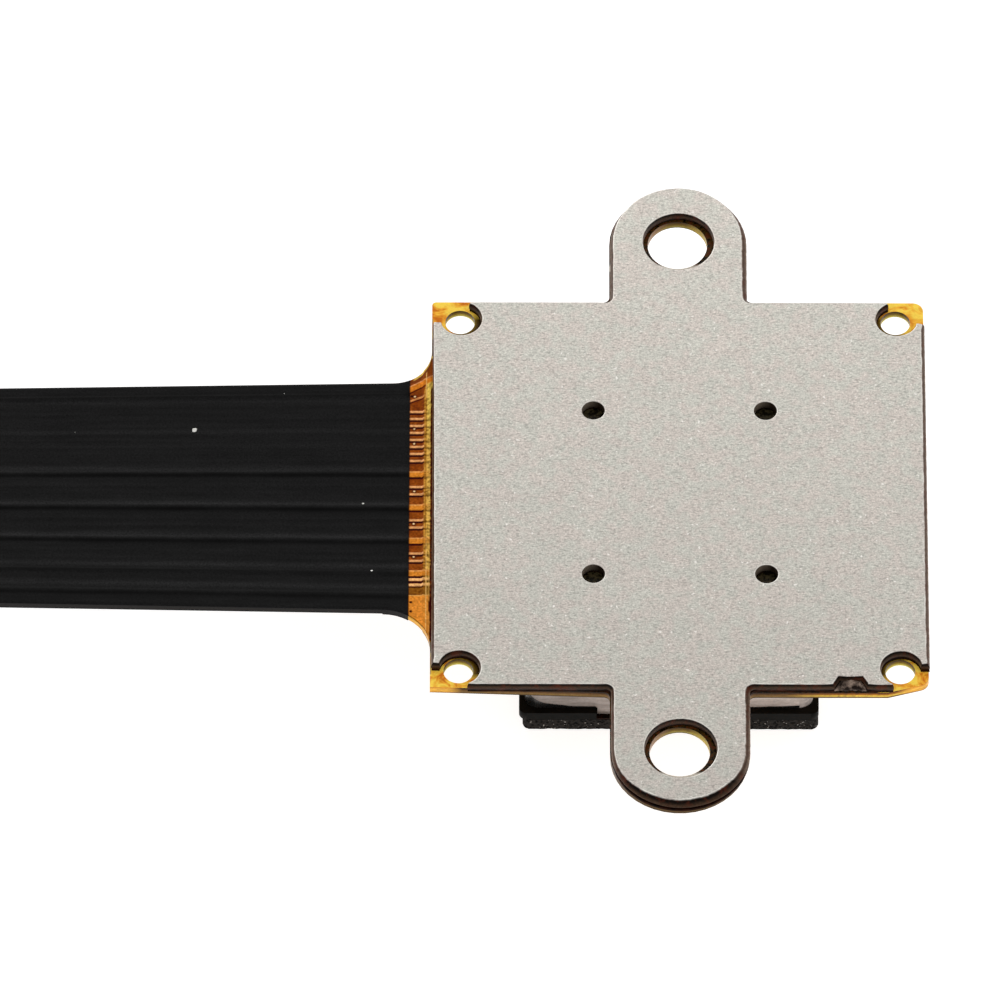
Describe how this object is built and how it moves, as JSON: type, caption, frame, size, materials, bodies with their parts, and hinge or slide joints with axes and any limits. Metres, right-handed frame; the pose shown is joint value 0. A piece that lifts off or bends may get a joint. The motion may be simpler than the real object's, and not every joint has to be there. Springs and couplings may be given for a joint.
{
  "type": "camera module",
  "caption": "Fixed-focus camera module on a flex circuit, with a steel back stiffener with two screw ears, and a black shielded tail to a board connector.",
  "frame": {"origin": "on the optical axis, at the face of the front gasket that seals against a window", "axes": "+Z from the lens to the steel back, so the lens looks towards -Z; the tail leaves towards -X; the ears point to +Y and -Y"},
  "size_m": [0.0669, 0.022, 0.0058],
  "materials": {
    "plate_steel": "fine rolled grain, satin, dark cut edges",
    "bond_film": "thin brown bonding film",
    "polyimide": "amber polyimide laminate, glossy",
    "copper": "copper conductors seen through amber cover film",
    "shield_film": "black shielding film, satin, faint ridges along the conductors",
    "land_board": "glass-fibre board",
    "plug_plastic": "moulded liquid crystal polymer",
    "gold": "gold plated",
    "tin": "tin plated, satin",
    "foam": "black closed-cell foam, matt, dusty",
    "holder_plastic": "black moulded plastic",
    "can_steel": "satin stainless sheet",
    "black_glue": "black cured glue",
    "clear_glue": "cured pale glue",
    "filter_glass": "coated infrared filter",
    "lens_glass": "clear, coated",
    "barrel_plastic": "black moulded plastic",
    "silicon": "polished silicon",
    "pixels": "microlens array, dark violet sheen",
    "cap_ceramic": "tan sintered ceramic",
    "chip_body": "moulded package"
  },
  "bodies": {
    "root": {"back_stiffener": "plate_steel", "stiffener_bond": "bond_film", "flex_circuit": "polyimide", "bare_conductors": "copper", "shield_film_back": "shield_film", "shield_film_front": "shield_film", "land_stiffener": "land_board", "land_bond": "bond_film", "plug_housing": "plug_plastic", "plug_contacts": "gold", "plug_anchors": "tin", "front_gasket": "foam", "gasket_bond": "bond_film", "lens_holder": "holder_plastic", "holder_bond": "black_glue", "shield_can": "can_steel", "can_glue": "black_glue", "can_solder": "tin", "ir_filter": "filter_glass", "filter_glue": "clear_glue", "image_sensor": "silicon", "pixel_array": "pixels", "die_bond": "clear_glue", "bond_wires": "gold", "lens_barrel": "barrel_plastic", "barrel_glue": "clear_glue", "lens_element_1": "lens_glass", "lens_element_2": "lens_glass", "lens_element_3": "lens_glass", "lens_element_4": "lens_glass", "baffle_front": "barrel_plastic", "lens_spacer": "barrel_plastic", "baffle_rear": "barrel_plastic", "lens_retainer": "barrel_plastic", "capacitor_bodies": "cap_ceramic", "capacitor_ends": "tin", "memory_chip": "chip_body", "voltage_regulator": "chip_body"}
  },
  "joints": []
}
